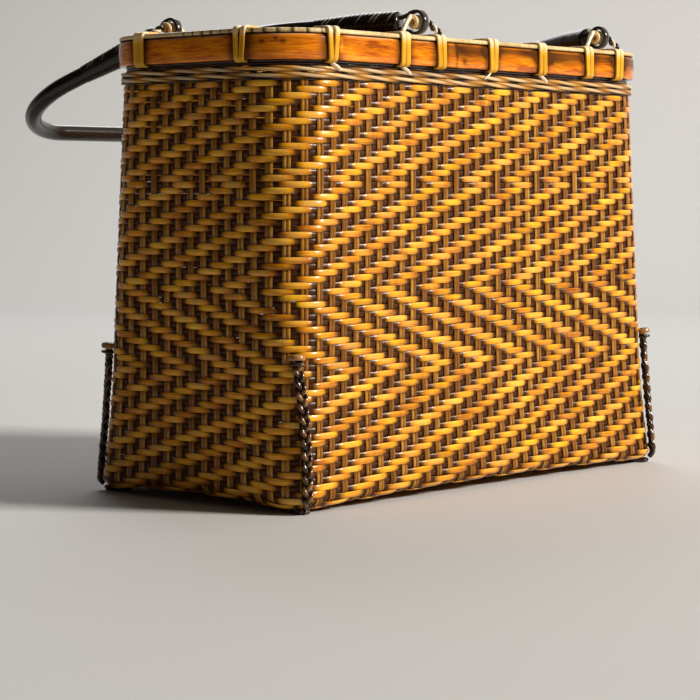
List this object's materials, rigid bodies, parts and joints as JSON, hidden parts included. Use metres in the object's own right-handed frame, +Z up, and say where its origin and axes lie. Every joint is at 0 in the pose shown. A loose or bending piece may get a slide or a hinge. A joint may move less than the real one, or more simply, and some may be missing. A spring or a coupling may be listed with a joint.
{
  "type": "bamboo handbag",
  "caption": "Upright woven bamboo handbag, twill body with a lashed bamboo rim, braided corner guards and a pair of cane-wrapped swing handles; carries small things in its open top.",
  "frame": {"origin": "on the table under the middle of the base", "axes": "+Z up, +X along the long front face, -Y out of the front face"},
  "size_m": [0.3096, 0.2502, 0.2431],
  "materials": {
    "weave_amber": "lacquered split bamboo, amber with dark stakes",
    "border_cane": "lacquered twined strips, gold and brown",
    "hoop_chestnut": "smoked bamboo, glossy lacquer",
    "cane_straw": "pale cane, satin",
    "lashing_gold": "split rattan, satin lacquer",
    "braid_dark": "dark lacquered cane",
    "handle_black": "black lacquered cane, glossy"
  },
  "bodies": {
    "bag": {"woven_body": "weave_amber", "twined_border": "border_cane", "rim_outer_hoop": "hoop_chestnut", "rim_inner_hoop": "hoop_chestnut", "rim_top_cane": "cane_straw", "rim_lashings": "lashing_gold", "corner_braid_bindings": "braid_dark", "corner_feet": "braid_dark", "corner_braid_front_left": "braid_dark", "handle_tie_front_left": "lashing_gold", "corner_braid_front_right": "braid_dark", "handle_tie_front_right": "lashing_gold", "corner_braid_back_left": "braid_dark", "handle_tie_back_left": "lashing_gold", "corner_braid_back_right": "braid_dark", "handle_tie_back_right": "lashing_gold"},
    "front_handle": {"front_handle_grip": "handle_black", "front_handle_end_binding_left": "handle_black", "front_handle_end_binding_right": "handle_black", "front_handle_eye_left": "handle_black", "front_handle_eye_right": "handle_black"},
    "back_handle": {"back_handle_grip": "handle_black", "back_handle_end_binding_left": "handle_black", "back_handle_end_binding_right": "handle_black", "back_handle_eye_left": "handle_black", "back_handle_eye_right": "handle_black"}
  },
  "joints": [
    {"name": "front_handle_swing", "type": "hinge", "parent": "bag", "child": "front_handle", "pos_m": [0.022, -0.065, 0.23715], "axis": [1, 0, 0], "range_deg": [0, 208]},
    {"name": "back_handle_swing", "type": "hinge", "parent": "bag", "child": "back_handle", "pos_m": [-0.022, 0.065, 0.23715], "axis": [1, 0, 0], "range_deg": [0, 160]}
  ]
}
